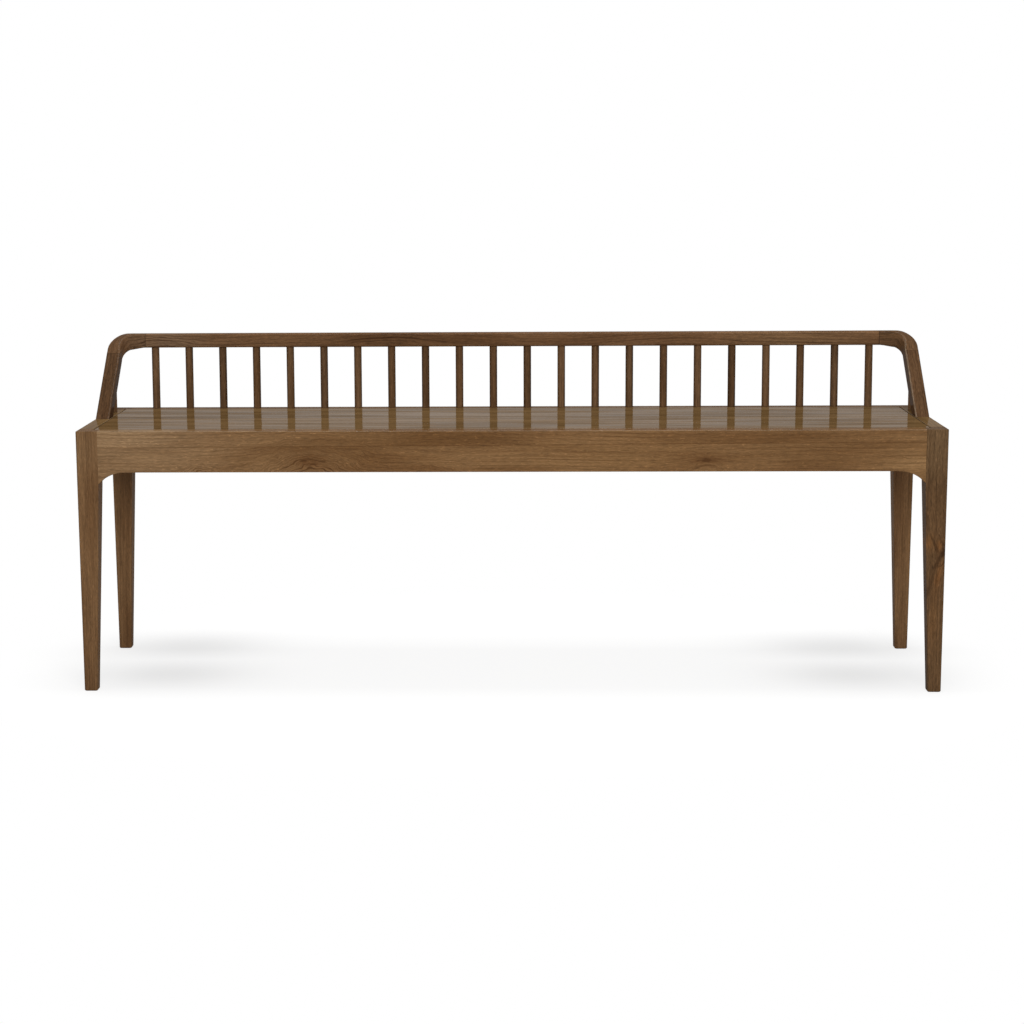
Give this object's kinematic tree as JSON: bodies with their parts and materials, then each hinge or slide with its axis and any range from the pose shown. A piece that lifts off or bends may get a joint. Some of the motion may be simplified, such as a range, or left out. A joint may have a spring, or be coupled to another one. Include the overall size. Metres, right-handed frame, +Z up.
{
  "type": "deacons bench",
  "caption": "Low teak bench with tapered legs, arched rails, a boarded seat and a low spindle back whose rail bends round the corners into sloping arms.",
  "frame": {"origin": "on the floor, under the middle of the bench's length and depth", "axes": "+X along the bench, to the right of someone facing it; +Y from the front to the spindle back; +Z up"},
  "size_m": [1.48, 0.35, 0.594],
  "materials": {
    "teak_frame": "oiled teak, satin, grain along each member",
    "teak_seat": "oiled teak boards, satin, grain along the bench",
    "teak_back": "darker oiled teak, satin, grain along the rail and round the bend",
    "teak_spindle": "turned teak, satin, grain upright",
    "teak_underframe": "planed teak, matt, unseen from above",
    "slip_tenon": "bare beech, hidden in the joints",
    "screw_steel": "plain steel countersunk screws"
  },
  "bodies": {
    "root": {"leg_front_left": "teak_frame", "leg_front_right": "teak_frame", "leg_rear_left": "teak_frame", "leg_rear_right": "teak_frame", "front_rail": "teak_frame", "rear_rail": "teak_frame", "side_rail_left": "teak_frame", "side_rail_right": "teak_frame", "seat_board_1": "teak_seat", "seat_board_2": "teak_seat", "seat_board_3": "teak_seat", "seat_board_4": "teak_seat", "back_top_rail": "teak_back", "back_corner_left": "teak_back", "back_corner_right": "teak_back", "arm_left": "teak_back", "arm_right": "teak_back", "spindle_01": "teak_spindle", "spindle_02": "teak_spindle", "spindle_03": "teak_spindle", "spindle_04": "teak_spindle", "spindle_05": "teak_spindle", "spindle_06": "teak_spindle", "spindle_07": "teak_spindle", "spindle_08": "teak_spindle", "spindle_09": "teak_spindle", "spindle_10": "teak_spindle", "spindle_11": "teak_spindle", "spindle_12": "teak_spindle", "spindle_13": "teak_spindle", "spindle_14": "teak_spindle", "spindle_15": "teak_spindle", "spindle_16": "teak_spindle", "spindle_17": "teak_spindle", "spindle_18": "teak_spindle", "spindle_19": "teak_spindle", "spindle_20": "teak_spindle", "spindle_21": "teak_spindle", "spindle_22": "teak_spindle", "side_spindle_left": "teak_spindle", "side_spindle_right": "teak_spindle", "seat_bearer_1": "teak_underframe", "seat_bearer_2": "teak_underframe", "seat_bearer_3": "teak_underframe", "seat_cleat_left": "teak_underframe", "seat_cleat_right": "teak_underframe", "corner_slip_tenon_left": "slip_tenon", "corner_slip_tenon_right": "slip_tenon", "arm_slip_tenon_left": "slip_tenon", "arm_slip_tenon_right": "slip_tenon", "screw_cleat_left_front": "screw_steel", "screw_cleat_left_rear": "screw_steel", "screw_bearer_1_front": "screw_steel", "screw_bearer_1_rear": "screw_steel", "screw_bearer_2_front": "screw_steel", "screw_bearer_2_rear": "screw_steel", "screw_bearer_3_front": "screw_steel", "screw_bearer_3_rear": "screw_steel", "screw_cleat_right_front": "screw_steel", "screw_cleat_right_rear": "screw_steel"}
  },
  "joints": []
}
